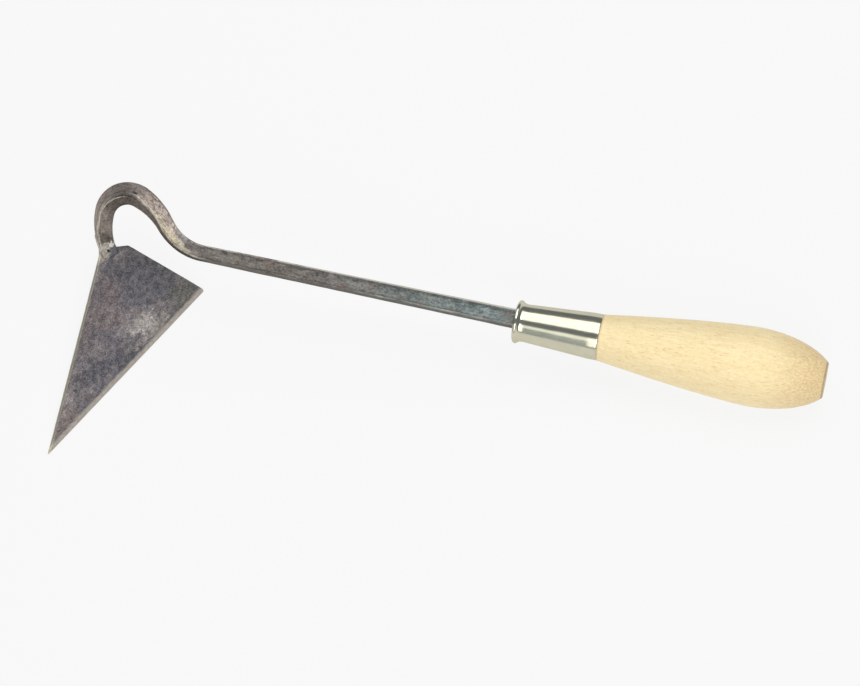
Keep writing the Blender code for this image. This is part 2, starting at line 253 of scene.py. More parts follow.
def bar_line():
    """Dense samples along the bar: length from the mouth, place, side and up axes, and size."""
    heading, dip, size, twist = BAR_START
    place = Vector((TANG_LENGTH, 0.0, 0.0))
    way = Vector((-1.0, 0.0, 0.0))
    side = Vector((0.0, 1.0, 0.0))
    length = -TANG_LENGTH
    rows = []
    for reach, next_heading, next_dip, next_size, next_twist in BAR_STRETCHES:
        steps = round(reach / BAR_SAMPLE)
        for i in range(steps):
            middle = (i + 0.5) / steps
            yaw = math.radians(heading + (next_heading - heading) * middle)
            rise = math.radians(dip + (next_dip - dip) * middle)
            new_way = Vector((math.cos(yaw) * math.cos(rise), math.sin(yaw) * math.cos(rise), math.sin(rise)))
            side = way.rotation_difference(new_way) @ side
            way = new_way
            share = i / steps
            roll = math.radians(BAR_ROLL + twist + (next_twist - twist) * share)
            turned_side = Matrix.Rotation(roll, 3, way) @ side
            here = size + (next_size - size) * share
            rows.append((length, *place, *turned_side, *way.cross(turned_side), here))
            place = place + way * (reach / steps)
            length += reach / steps
        heading, dip, size, twist = next_heading, next_dip, next_size, next_twist
    rows.append((length, *place, *turned_side, *way.cross(turned_side), size))
    return np.array(rows)


BAR_LINE = bar_line()
BAR_END = BAR_LINE[-1, 0]


def bar_points(length, u, v):
    """Points on the bent bar, in the shank's frame, of points of the unbent nominal bar."""
    values = [np.interp(length, BAR_LINE[:, 0], BAR_LINE[:, i]) for i in range(1, 11)]
    place = np.stack(values[0:3], -1)
    side = np.stack(values[3:6], -1)
    up = np.stack(values[6:9], -1)
    scale = (values[9] / BAR_NOMINAL)[..., None]
    return place + (side * u[..., None] + up * v[..., None]) * scale


def square_section(half, radius, side_points, corner_points):
    """A rounded square as (u, v) rows and their outward normals, starting at +u and turning to +v."""
    corner = half - radius
    points, normals = [], []
    for quarter in range(4):
        turn = Matrix.Rotation(math.radians(90 * quarter), 2)
        for i in range(side_points):
            points.append(turn @ Vector((half, -corner + 2 * corner * (i + 0.5) / side_points)))
            normals.append(turn @ Vector((1.0, 0.0)))
        for x, y in arc((0.0, 0.0), 1.0, 0, 90, corner_points - 1):
            points.append(turn @ (Vector((corner, corner)) + Vector((x, y)) * radius))
            normals.append(turn @ Vector((x, y)))
    return np.array(points), np.array(normals)


def foot_lengths(section):
    """Length along the bar at which each point of the section meets the level just under the blade's face."""
    to_blade = BLADE_FRAME.inverted() @ SHANK_FRAME
    lengths = np.linspace(BAR_END - BAR_TRIM_ZONE, BAR_END, 160)
    found = []
    for u, v in section:
        heights = moved(to_blade, bar_points(lengths, np.full(160, u), np.full(160, v)))[:, 2]
        below = np.nonzero(heights < -FOOT_SINK)[0]
        found.append(lengths[below[0]] if len(below) else BAR_END)
    return np.array(found)


def make_shank(finish):
    section, normals = square_section(BAR_NOMINAL / 2, BAR_EDGE_RADIUS, SIDE_POINTS, CORNER_POINTS)
    around = len(section)
    trim = BAR_END - BAR_TRIM_ZONE
    straight = np.arange(-TANG_LENGTH, trim, BAR_RING)
    lengths = [np.full(around, s) for s in straight]
    ends = foot_lengths(section)
    steps = round(BAR_TRIM_ZONE / BAR_RING)
    lengths += [trim + (ends - trim) * i / steps for i in range(steps + 1)]
    lengths = np.array(lengths)
    rings = len(lengths)
    u = np.tile(section[:, 0], (rings, 1))
    v = np.tile(section[:, 1], (rings, 1))
    local = np.stack([lengths, u, v], -1).reshape(-1, 3)
    push = relief(local * (0.35, 1.0, 1.0), ((7 * MM, 0.10 * MM), (2.4 * MM, 0.05 * MM)), 1)
    push += relief(local, ((0.9 * MM, 0.018 * MM),), 2)
    push *= np.clip((local[:, 0] + TANG_LENGTH) / (20 * MM), 0.05, 1.0)
    start, end = WORN_FLAT
    worn = np.clip((lengths - start) / (5 * MM), 0, 1) * np.clip((end - lengths) / (5 * MM), 0, 1)
    excess = np.clip(u * WORN_WAY[0] + v * WORN_WAY[1] - WORN_LEVEL, 0, None) * worn
    u = u - excess * WORN_WAY[0]
    v = v - excess * WORN_WAY[1]
    u = u + (push.reshape(rings, around)) * normals[:, 0]
    v = v + (push.reshape(rings, around)) * normals[:, 1]
    points = bar_points(lengths, u, v).reshape(-1, 3)
    faces = ring_faces(rings, around)
    last = (rings - 1) * around
    faces.append(tuple(range(around - 1, -1, -1)))
    faces.append(tuple(range(last, last + around)))
    faces = [face[::-1] for face in faces]
    return piece("forged_shank", moved(SHANK_FRAME, points), faces, local, finish, "gooseneck_shank")


# ---------------------------------------------------------------- blade

def rounded_outline(corners, spacing):
    """The closed outline with its corners as arcs and its sides cut to about one spacing."""
    outline = []
    count = len(corners)
    for i, (x, y, radius) in enumerate(corners):
        corner = Vector((x, y))
        before = (Vector(corners[i - 1][:2]) - corner).normalized()
        after = (Vector(corners[(i + 1) % count][:2]) - corner).normalized()
        half_angle = before.angle(after) / 2
        reach = radius / math.tan(half_angle)
        centre = corner + (before + after).normalized() * radius / math.sin(half_angle)
        start = corner + before * reach - centre
        sweep = start.angle_signed(corner + after * reach - centre)
        steps = max(4, round(abs(sweep) * radius / (spacing / 2)))
        for step in range(steps + 1):
            outline.append(centre + Matrix.Rotation(-sweep * step / steps, 2) @ start)
    dense = []
    for i, point in enumerate(outline):
        following = outline[(i + 1) % len(outline)]
        pieces = max(1, round((following - point).length / spacing))
        dense += [point.lerp(following, k / pieces) for k in range(pieces)]
    return [point for i, point in enumerate(dense) if (point - dense[i - 1]).length > 0.02 * MM]


def inset(outline, depth):
    """An outline moved inwards by a small depth, point by point."""
    result = []
    for i, point in enumerate(outline):
        along = (outline[(i + 1) % len(outline)] - outline[i - 1]).normalized()
        result.append(point + Vector((-along.y, along.x)) * depth)
    return result


def left_distance(points):
    """Distance of each (x, y) row from the blade's left edge line, inwards."""
    along = BLADE_LEFT_END.normalized()
    return points[:, 0] * along.y - points[:, 1] * along.x


def soft_ramp(distance, width, rounding):
    """1 at the edge, falling straight to 0 at the width, with the crease rounded."""
    gap = np.clip(width + rounding - distance, 0, None)
    return np.where(gap < 2 * rounding, gap ** 2 / (4 * rounding), gap - rounding) / width


def face_height(points):
    """Height of the upper face with its two ground bevels."""
    width, drop = CUTTING_BEVEL
    height = -drop * soft_ramp(points[:, 1], width, CREASE_ROUNDING)
    width, drop = LEFT_BEVEL
    along = np.array(BLADE_LEFT_END.normalized())
    fade = np.clip((BLADE_LEFT_END.length - points[:, :2] @ along) / LEFT_BEVEL_FADE, 0, 1)
    left = -drop * soft_ramp(left_distance(points), width, 0.15 * MM) * fade
    return np.minimum(height, left)


def blade_grid():
    """Places inside the blade: rows along both bevels, a fine patch at the tip and an even grid."""
    right = BLADE_CORNERS[1][0] * MM
    places = []
    for row in range(9):
        columns = round(right / BLADE_SPACING)
        places += [(right * (i + row % 2 / 2) / columns, 0.45 * MM * (row + 1)) for i in range(columns)]
    along = BLADE_LEFT_END.normalized()
    inward = Vector((along.y, -along.x))
    steps = round(BLADE_LEFT_END.length / RIM_SPACING)
    for depth in (0.45, 0.85, 1.1):
        for i in range(steps):
            places.append(tuple(along * (BLADE_LEFT_END.length * (i + 0.5) / steps) + inward * depth * MM))
    rows = round(60 * MM / BLADE_SPACING)
    for row in range(rows):
        y = 4.7 * MM + BLADE_SPACING * row * 0.87
        places += [(BLADE_SPACING * (i + row % 2 / 2), y) for i in range(round(right / BLADE_SPACING))]
    places = np.array(places)
    inside = (left_distance(places) < 1.12 * MM) | (left_distance(places) > 1.5 * MM)
    places = places[inside & (places[:, 0] > TIP_REACH)]
    step = 0.28 * MM
    tip = [(step * i, step * (j + 0.5)) for i in range(round(TIP_REACH / step)) for j in range(18)]
    return np.vstack([places, tip])


def blade_plan(outline):
    """Points and triangles that fill the outline, from a grid that is finer at the bevels and the tip."""
    border = [(i, (i + 1) % len(outline)) for i in range(len(outline))]
    ring = np.array([tuple(point) for point in outline])
    nearest = KDTree(len(ring))
    for i, point in enumerate(ring):
        nearest.insert((*point, 0.0), i)
    nearest.balance()
    points = [Vector(point) for point in outline]
    for x, y in blade_grid():
        if nearest.find((x, y, 0.0))[2] > 0.2 * MM:
            points.append(Vector((x, y)))
    flat, _, triangles, *_ = geometry.delaunay_2d_cdt(points, border, [], 1, 1e-7)
    used = sorted({i for face in triangles for i in face} | set(range(len(outline))))
    place = {old: new for new, old in enumerate(used)}
    return np.array([tuple(flat[i]) for i in used]), [tuple(place[i] for i in face) for face in triangles]


def make_blade(finish):
    corners = [(x * MM, y * MM, radius * MM) for x, y, radius in BLADE_CORNERS]
    outline = rounded_outline(corners, RIM_SPACING)
    inner = inset(outline, BLADE_ROUNDING)
    flat, triangles = blade_plan(inner)
    count = len(flat)
    around = len(outline)
    ring = np.array([tuple(point) for point in outline])
    top = np.column_stack([flat, face_height(flat)])
    bottom = np.column_stack([flat, np.full(count, -BLADE_THICKNESS)])
    edge_top = face_height(ring)
    upper = np.column_stack([ring, edge_top - BLADE_ROUNDING])
    lower = np.column_stack([ring, np.full(around, -BLADE_THICKNESS + BLADE_ROUNDING)])
    local = np.vstack([top, upper, lower, bottom])
    low = np.column_stack([local[:, :2], np.zeros(len(local))])
    swell = relief(low, ((26 * MM, 0.22 * MM), (9 * MM, 0.06 * MM), (2.6 * MM, 0.02 * MM)), 3)
    lift = relief(local, ((1.1 * MM, 0.012 * MM),), 4)
    points = local.copy()
    points[:, 2] += swell + lift
    wave = relief(local, ((5 * MM, 0.05 * MM), (1.6 * MM, 0.03 * MM)), 5)
    rim = np.array([tuple(point) for point in inset(outline, 1.0)]) - ring
    for start in (count, count + around):
        points[start:start + around, :2] += rim * wave[start:start + around, None]
    faces = [face for face in triangles]
    faces += [tuple(i + count + 2 * around for i in face[::-1]) for face in triangles]
    for k in range(around):
        following = (k + 1) % around
        up, down, floor = count, count + around, count + 2 * around
        faces.append((k, up + k, up + following, following))
        faces.append((up + k, down + k, down + following, up + following))
        faces.append((down + k, floor + k, floor + following, down + following))
    return piece("blade_plate", moved(BLADE_FRAME, points), faces, local, finish, "blade", sharp=24)


# ---------------------------------------------------------------- weld metal

def ellipsoid(centre, half_sizes, turn, steps=28):
    """Points and faces of an ellipsoid in the blade's frame, given in millimetres and degrees."""
    around = steps * 2
    rows = []
    for i in range(1, steps):
        polar = math.pi * i / steps
        for k in range(around):
            angle = 2 * math.pi * k / around
            rows.append((math.sin(polar) * math.cos(angle), math.sin(polar) * math.sin(angle), math.cos(polar)))
    rows += [(0.0, 0.0, 1.0), (0.0, 0.0, -1.0)]
    faces = ring_faces(steps - 1, around)
    top, bottom = len(rows) - 2, len(rows) - 1
    last = (steps - 2) * around
    for k in range(around):
        following = (k + 1) % around
        faces.append((top, k, following))
        faces.append((bottom, last + following, last + k))
    spin = np.array(Matrix.Rotation(math.radians(turn), 3, "Z"))
    points = (np.array(rows) * half_sizes) @ spin.T + centre
    return points * MM, faces


def foot_sleeve(grow, reach):
    """A short closed tube round the bar's foot, in the blade's frame, a little larger than the bar."""
    section, _ = square_section(BAR_NOMINAL / 2 + grow, BAR_EDGE_RADIUS, SIDE_POINTS, CORNER_POINTS)
    ends = foot_lengths(section)
    start = ends.min() - reach
    rings = 24
    rows = []
    for i in range(rings):
        share = i / (rings - 1)
        shrink = 1 - 0.16 * (1 - share) ** 2
        lengths = start + (ends - start) * share
        rows.append(bar_points(lengths, section[:, 0] * shrink, section[:, 1] * shrink))
    points = moved(BLADE_FRAME.inverted() @ SHANK_FRAME, np.array(rows).reshape(-1, 3))
    around = len(section)
    last = (rings - 1) * around
    faces = ring_faces(rings, around)
    faces += [tuple(range(around - 1, -1, -1)), tuple(range(last, last + around))]
    return points, faces


def melted(name, shapes, voxel, smoothing):
    """One smooth skin round several overlapping closed shapes, in the blade's frame."""
    points, faces = [], []
    for shape_points, shape_faces in shapes:
        start = len(points)
        points += [tuple(point) for point in shape_points]
        faces += [tuple(i + start for i in face) for face in shape_faces]
    mesh = bpy.data.meshes.new(name)
    mesh.from_pydata(points, [], faces)
    obj = bpy.data.objects.new(name, mesh)
    bpy.context.scene.collection.objects.link(obj)
    remesh = obj.modifiers.new("melt", "REMESH")
    remesh.mode = "VOXEL"
    remesh.voxel_size = voxel
    soften = obj.modifiers.new("soften", "SMOOTH")
    soften.factor = 0.5
    soften.iterations = smoothing
    bpy.context.view_layer.update()
    done = bpy.data.meshes.new_from_object(obj.evaluated_get(bpy.context.evaluated_depsgraph_get()))
    local = np.array([vertex.co for vertex in done.vertices])
    normals = np.array([vertex.normal for vertex in done.vertices])
    faces = [tuple(face.vertices) for face in done.polygons]
    bpy.data.objects.remove(obj)
    bpy.data.meshes.remove(done)
    return local, normals, faces


def on_bar(length, u, v):
    """A point of the bar's surface in the blade's frame, all in millimetres."""
    point = bar_points(np.array([length * MM]), np.array([u * MM]), np.array([v * MM]))
    return moved(BLADE_FRAME.inverted() @ SHANK_FRAME, point)[0] / MM


def make_welds(finish):
    bead = ellipsoid((88.0, 45.5, -0.2), (3.8, 3.6, 1.0), -46.0)
    corner = ellipsoid((90.3, 45.1, 0.0), (1.9, 1.8, 1.0), -46.0)
    drops = [ellipsoid(on_bar(*place), size, -46.0, 14) for place, size in WELD_DROPS]
    shapes = (foot_sleeve(0.34 * MM, 2.2 * MM), bead, corner)
    local, normals, faces = melted("face", shapes, 0.22 * MM, 24)
    push = relief(local, ((2.4 * MM, 0.12 * MM), (0.9 * MM, 0.10 * MM), (0.4 * MM, 0.03 * MM)), 6)
    gap = np.linalg.norm(local - on_bar(*WELD_PIT) * MM, axis=1)
    push -= 0.24 * MM * np.exp(-(gap / (0.6 * MM)) ** 2)
    points = local + normals * push[:, None]
    for drop_points, drop_faces in drops:
        start = len(points)
        points = np.vstack([points, drop_points])
        local = np.vstack([local, drop_points])
        faces += [tuple(i + start for i in face) for face in drop_faces]
    piece("weld_face_bead", moved(BLADE_FRAME, points), faces, local, finish, "weld_bead_face")
    local, normals, faces = melted("back", (ellipsoid(*BACK_BEAD),), 0.22 * MM, 4)
    push = relief(local, ((2.0 * MM, 0.25 * MM), (0.7 * MM, 0.10 * MM)), 7)
    points = moved(BLADE_FRAME, local + normals * push[:, None])
    piece("weld_back_bead", points, faces, local, finish, "weld_bead_back")


# ---------------------------------------------------------------- turned parts

def turned_rings(profile):
    """Rings of points round the handle axis for a profile of (radius, height) rows."""
    angles = np.linspace(0, 2 * math.pi, TURNED_POINTS, endpoint=False)
    return [np.column_stack([r * np.cos(angles), r * np.sin(angles), np.full(TURNED_POINTS, z)]) for r, z in profile]


def divided(profile, spacing):
    """A profile with its long straight runs cut to about one spacing."""
    result = [profile[0]]
    for a, b in zip(profile, profile[1:]):
        steps = max(1, round(math.dist(a, b) / spacing))
        result += [(a[0] + (b[0] - a[0]) * k / steps, a[1] + (b[1] - a[1]) * k / steps) for k in range(1, steps + 1)]
    return result


def make_ferrule(finish):
    front, front_radius = FERRULE_FRONT
    full, rear_radius = FERRULE_FULL
    lip_start = FERRULE_REAR - FERRULE_LIP
    shell = arc((rear_radius - FERRULE_LIP, lip_start), FERRULE_LIP, 88, 0, 10)
    shell += [(rear_radius, full + 0.6 * MM), (rear_radius - 0.02 * MM, full - 0.6 * MM)]
    shell += [(front_radius + 0.02 * MM, front + 0.3 * MM), (front_radius + 0.05 * MM, front - 0.3 * MM)]
    shell += [FERRULE_THROAT[::-1]]
    shell += arc((BEAD_OUTER - BEAD_TUBE, 0.0), BEAD_TUBE, 58, -200, 26)
    shell += [(front_radius - FERRULE_WALL, front), (rear_radius - FERRULE_WALL, full)]
    shell += [(rear_radius - FERRULE_WALL, lip_start + 0.8 * MM)]
    rings = turned_rings(divided(shell, 0.9 * MM))
    local = np.array(rings).reshape(-1, 3)
    push = relief(local * (1.0, 1.0, 0.3), ((7 * MM, 0.045 * MM), (2.6 * MM, 0.016 * MM)), 8)
    outward = local * (1.0, 1.0, 0.0) / np.hypot(local[:, 0], local[:, 1])[:, None]
    points = moved(HANDLE_FRAME, local + outward * push[:, None])
    faces = [face[::-1] for face in ring_faces(len(rings), TURNED_POINTS, loop=True)]
    return piece("plated_ferrule", points, faces, local, finish, "ferrule")


def wood_radius(place):
    """Radius of the handle: a swelling flank up to the belly, then a quarter of an ellipse."""
    if place < BELLY_PLACE:
        share = (BELLY_PLACE - place) / (BELLY_PLACE - FERRULE_REAR)
        return BELLY_RADIUS - (BELLY_RADIUS - NECK_RADIUS) * share ** FLANK_POWER
    return BELLY_RADIUS * math.sqrt(1 - ((place - BELLY_PLACE) / BUTT_ELLIPSE) ** 2)


def wood_profile():
    slope = math.radians(BUTT_EDGE_SLOPE)
    rim = BUTT_PLACE - BUTT_EDGE_RADIUS * (1 - math.sin(slope))
    flat_radius = wood_radius(rim) - BUTT_EDGE_RADIUS * math.cos(slope)
    profile = [(flat_radius * share, BUTT_PLACE) for share in (0.02, 0.2, 0.4, 0.6, 0.8, 0.94)]
    profile += arc((flat_radius, BUTT_PLACE - BUTT_EDGE_RADIUS), BUTT_EDGE_RADIUS, 90, BUTT_EDGE_SLOPE, 6)
    shoulder = FERRULE_REAR - 0.4 * MM
    places = np.linspace(rim, shoulder, 110)[1:]
    profile += [(wood_radius(max(place, FERRULE_REAR)), place) for place in places]
    tenon = FERRULE_FULL[1] - FERRULE_WALL - GAP
    front = FERRULE_FRONT[1] - FERRULE_WALL - GAP
    profile += divided([(tenon - 0.6 * MM, shoulder), (tenon - 0.6 * MM, FERRULE_FULL[0]), (front, TENON_START + 0.3 * MM)], 2 * MM)
    profile += divided([(front - 0.3 * MM, TENON_START), (front - 1.6 * MM, TENON_START)], 0.5 * MM)
    return profile


def bore_rings():
    """Rings of the square tang bore, from the tenon's face to the pointed end, in the handle's frame."""
    angles = np.linspace(0, 2 * math.pi, TURNED_POINTS, endpoint=False)
    to_handle = HANDLE_FRAME.inverted() @ SHANK_FRAME
    rings = []
    for place in (TENON_START, 20 * MM, 38 * MM, TANG_LENGTH - TANG_POINT, TANG_LENGTH - MM, TANG_LENGTH + 2 * GAP):
        size = np.interp(-place, BAR_LINE[:, 0], BAR_LINE[:, 10]) / BAR_NOMINAL
        half = BAR_NOMINAL / 2 * size + GAP
        rows = []
        for angle in angles:
            way = Vector((math.cos(angle), math.sin(angle)))
            way = Matrix.Rotation(-math.radians(BAR_ROLL), 2) @ way
            reach = half / max(abs(way.x), abs(way.y))
            rows.append((place, reach * math.sin(angle), -reach * math.cos(angle)))
        ring = moved(to_handle, rows)
        ring[:, 2] = place
        rings.append(ring)
    return rings


def make_handle(finish):
    rings = turned_rings(wood_profile()) + bore_rings()
    local = np.array(rings).reshape(-1, 3)
    push = relief(local * (1.0, 1.0, 0.25), ((5 * MM, 0.05 * MM), (1.4 * MM, 0.02 * MM)), 9)
    reach = np.maximum(np.hypot(local[:, 0], local[:, 1]), MM)
    outward = local * (1.0, 1.0, 0.0) / reach[:, None]
    points = moved(HANDLE_FRAME, local + outward * push[:, None])
    last = (len(rings) - 1) * TURNED_POINTS
    faces = ring_faces(len(rings), TURNED_POINTS)
    faces += [tuple(range(TURNED_POINTS - 1, -1, -1)), tuple(range(last, last + TURNED_POINTS))]
    faces = [face[::-1] for face in faces]
    return piece("turned_handle", points, faces, local, finish, "handle")


# ---------------------------------------------------------------- finishes

class Finish:
    """A procedural material, built node by node from the "local" attribute."""

    def __init__(self, name):
        self.material = bpy.data.materials.new(name)
        self.material.use_nodes = True
        self.tree = self.material.node_tree
        self.shader = self.tree.nodes["Principled BSDF"]
        attribute = self.node("ShaderNodeAttribute")
        attribute.attribute_name = "local"
        self.place = attribute.outputs["Vector"]

    def node(self, kind, **settings):
        node = self.tree.nodes.new(kind)
        for name, value in settings.items():
            setattr(node, name, value)
        return node

    def feed(self, socket, value):
        if isinstance(value, bpy.types.NodeSocket):
            self.tree.links.new(value, socket)
        elif isinstance(value, tuple) and len(value) == 3 and socket.type == "RGBA":
            socket.default_value = (*value, 1.0)
        else:
            socket.default_value = value

    def math(self, operation, a, b=0.0):
        node = self.node("ShaderNodeMath", operation=operation)
        self.feed(node.inputs[0], a)
        self.feed(node.inputs[1], b)
        return node.outputs[0]

    def vector(self, operation, a, b):
        node = self.node("ShaderNodeVectorMath", operation=operation)
        self.feed(node.inputs[0], a)
        self.feed(node.inputs[1], b)
        return node.outputs["Value" if operation in ("LENGTH", "DOT_PRODUCT") else "Vector"]

    def mix(self, share, a, b, blend="MIX"):
        node = self.node("ShaderNodeMix", data_type="RGBA", blend_type=blend)
        self.feed(node.inputs[0], share)
        self.feed(node.inputs[6], a)
        self.feed(node.inputs[7], b)
        return node.outputs[2]

    def span(self, value, low, high, to_low=0.0, to_high=1.0):
        """A smooth step of a value between two levels, mapped to two others."""
        node = self.node("ShaderNodeMapRange", interpolation_type="SMOOTHSTEP")
        for socket, number in zip(node.inputs[:5], (value, low, high, to_low, to_high)):
            self.feed(socket, number)
        return node.outputs[0]

    def noise(self, size, detail=3.0, roughness=0.55, stretch=(1.0, 1.0, 1.0), shift=0.0, twist=0.0):
        """Fractal noise with features of about one size, in metres, after the place is stretched."""
        spread = self.vector("MULTIPLY", self.place, tuple(1.0 / (size * s) for s in stretch))
        spread = self.vector("ADD", spread, (shift, shift * 0.7, -shift))
        node = self.node("ShaderNodeTexNoise")
        self.feed(node.inputs["Vector"], spread)
        self.feed(node.inputs["Scale"], 1.0)
        self.feed(node.inputs["Detail"], detail)
        self.feed(node.inputs["Roughness"], roughness)
        self.feed(node.inputs["Distortion"], twist)
        return node.outputs["Fac"]

    def spot(self, centre, radii, soft, ragged=0.0, shift=0.0):
        """A share that is 1 round a centre and 0 outside the radii, all in millimetres."""
        offset = self.vector("SUBTRACT", self.place, tuple(c * MM for c in centre))
        offset = self.vector("DIVIDE", offset, tuple(r * MM for r in radii))
        reach = self.vector("LENGTH", offset, (0.0, 0.0, 0.0))
        if ragged:
            rough = self.noise(min(radii) * MM * 0.6, 4.0, 0.6, shift=shift)
            reach = self.math("ADD", reach, self.math("MULTIPLY", self.math("SUBTRACT", rough, 0.5), ragged))
        return self.span(reach, 1.0 + soft, 1.0 - soft, 0.0, 1.0)

    def axis(self, index):
        """One coordinate of the place, in metres."""
        node = self.node("ShaderNodeSeparateXYZ")
        self.feed(node.inputs[0], self.place)
        return node.outputs[index]

    def bump(self, layers):
        """Fine relief: layers of (height source, depth in metres), one on top of another."""
        normal = None
        for source, depth in layers:
            node = self.node("ShaderNodeBump")
            self.feed(node.inputs["Height"], source)
            node.inputs["Distance"].default_value = depth
            node.inputs["Strength"].default_value = 1.0
            if normal:
                self.feed(node.inputs["Normal"], normal)
            normal = node.outputs[0]
        self.feed(self.shader.inputs["Normal"], normal)

    def done(self, colour, roughness, metallic):
        self.feed(self.shader.inputs["Base Color"], colour)
        self.feed(self.shader.inputs["Roughness"], roughness)
        self.feed(self.shader.inputs["Metallic"], metallic)
        return self.material


def blade_finish():
    f = Finish("blackened_blade_steel")
    cloud = f.noise(13 * MM, 6.0, 0.68, shift=2.0, twist=0.6)
    colour = f.mix(f.span(cloud, 0.36, 0.64), (0.122, 0.118, 0.136), (0.210, 0.182, 0.182))
    for centre, radii, share, tint in (
        ((60.0, 30.0, 0.0), (34.0, 9.0, 40.0), 0.65, (0.138, 0.112, 0.116)),
        ((14.0, 4.5, 0.0), (13.0, 6.0, 40.0), 0.70, (0.178, 0.140, 0.132)),
        ((43.0, 12.0, 0.0), (9.0, 4.5, 40.0), 0.60, (0.086, 0.084, 0.098)),
        ((59.0, 6.0, 0.0), (8.0, 4.5, 40.0), 0.70, (0.076, 0.077, 0.091)),
        ((32.0, 13.5, 0.0), (6.0, 3.0, 40.0), 0.60, (0.068, 0.065, 0.072)),
        ((91.0, 22.0, 0.0), (12.0, 11.0, 40.0), 0.55, (0.096, 0.101, 0.118)),
        ((88.0, 38.0, 0.0), (9.0, 9.0, 40.0), 0.65, (0.082, 0.080, 0.090)),
        ((98.0, 5.0, 0.0), (7.0, 6.0, 40.0), 0.55, (0.150, 0.150, 0.120)),
        ((75.0, 10.0, 0.0), (6.0, 3.6, 40.0), 0.88, (0.400, 0.362, 0.345)),
        ((70.5, 12.5, 0.0), (4.0, 4.4, 40.0), 0.55, (0.300, 0.270, 0.262)),
        ((66.5, 14.5, 0.0), (4.0, 2.6, 40.0), 0.45, (0.240, 0.215, 0.210)),
        ((78.5, 4.6, 0.0), (6.0, 2.2, 40.0), 0.80, (0.320, 0.290, 0.265)),
        ((70.5, 4.4, 0.0), (5.5, 2.0, 40.0), 0.70, (0.270, 0.243, 0.230)),
        ((62.0, 6.5, 0.0), (3.0, 1.6, 40.0), 0.45, (0.230, 0.205, 0.195)),
        ((85.0, 5.5, 0.0), (4.0, 1.8, 40.0), 0.45, (0.250, 0.225, 0.205)),
        ((21.0, 7.6, 0.0), (4.6, 1.4, 40.0), 0.60, (0.290, 0.250, 0.240)),
        ((25.5, 10.8, 0.0), (3.2, 1.6, 40.0), 0.65, (0.310, 0.270, 0.262)),
        ((29.0, 14.2, 0.0), (3.6, 2.0, 40.0), 0.50, (0.270, 0.235, 0.228)),
        ((89.5, 39.8, 0.0), (2.2, 1.4, 40.0), 0.55, (0.270, 0.250, 0.245)),
    ):
        place = f.spot(centre, radii, 0.5, 4.0, centre[0])
        colour = f.mix(f.math("MULTIPLY", place, share), colour, tint)
    beige = f.spot((84.8, 45.4, 0.0), (4.0, 2.8, 40.0), 0.35, 1.5, 9.0)
    colour = f.mix(f.math("MULTIPLY", beige, 0.8), colour, (0.34, 0.30, 0.26))
    blotch = f.noise(2.6 * MM, 5.0, 0.7, shift=21.0)
    colour = f.mix(1.0, colour, f.span(blotch, 0.34, 0.66, 0.68, 1.38), "MULTIPLY")
    speckle = f.noise(0.75 * MM, 4.0, 0.8)
    colour = f.mix(1.0, colour, f.span(speckle, 0.32, 0.70, 0.50, 1.50), "MULTIPLY")
    sparkle = f.noise(0.5 * MM, 1.0, 0.5, shift=7.0)
    colour = f.mix(f.span(sparkle, 0.64, 0.78, 0.0, 0.5), colour, (0.36, 0.335, 0.335))
    scratch = f.noise(0.5 * MM, 2.0, 0.5, stretch=(14.0, 0.8, 1.0), shift=30.0)
    colour = f.mix(f.span(scratch, 0.66, 0.74, 0.0, 0.35), colour, (0.31, 0.295, 0.285))
    ground = cutting_mask(f)
    grain = f.noise(0.8 * MM, 3.0, 0.6, stretch=(2.5, 0.6, 1.0), shift=3.0)
    bright = f.mix(f.span(grain, 0.3, 0.7), (0.345, 0.305, 0.272), (0.50, 0.462, 0.418))
    lip = f.span(f.axis(1), 0.9 * MM, 0.3 * MM)
    bright = f.mix(f.math("MULTIPLY", lip, 0.6), bright, (0.42, 0.375, 0.30))
    bright = f.mix(left_mask(f), bright, (0.64, 0.59, 0.46))
    colour = f.mix(ground, colour, bright)
    rough = f.span(ground, 0.0, 1.0, f.span(speckle, 0.3, 0.7, 0.42, 0.56), 0.34)
    f.bump(((speckle, 0.03 * MM), (f.noise(3.5 * MM, 3.0), 0.05 * MM)))
    return f.done(colour, rough, 0.85)


def left_mask(f):
    """Share of bright ground steel along the left edge."""
    along = BLADE_LEFT_END.normalized()
    inward = f.vector("DOT_PRODUCT", f.place, (along.y, -along.x, 0.0))
    return f.span(inward, LEFT_BEVEL[0] * 1.30, LEFT_BEVEL[0] * 0.90)


def cutting_mask(f):
    """Share of bright ground steel along the cutting edge and the left edge."""
    ragged = f.math("MULTIPLY", f.math("SUBTRACT", f.noise(1.3 * MM, 4.0, 0.75, shift=5.0), 0.5), 2.4 * MM)
    waving = f.math("MULTIPLY", f.math("SUBTRACT", f.noise(14.0 * MM, 3.0, 0.6, shift=9.0), 0.5), 2.6 * MM)
    from_edge = f.math("ADD", f.axis(1), f.math("ADD", ragged, waving))
    cutting = f.span(from_edge, CUTTING_BEVEL[0] * 1.22, CUTTING_BEVEL[0] * 0.55)
    return f.math("MAXIMUM", cutting, left_mask(f))


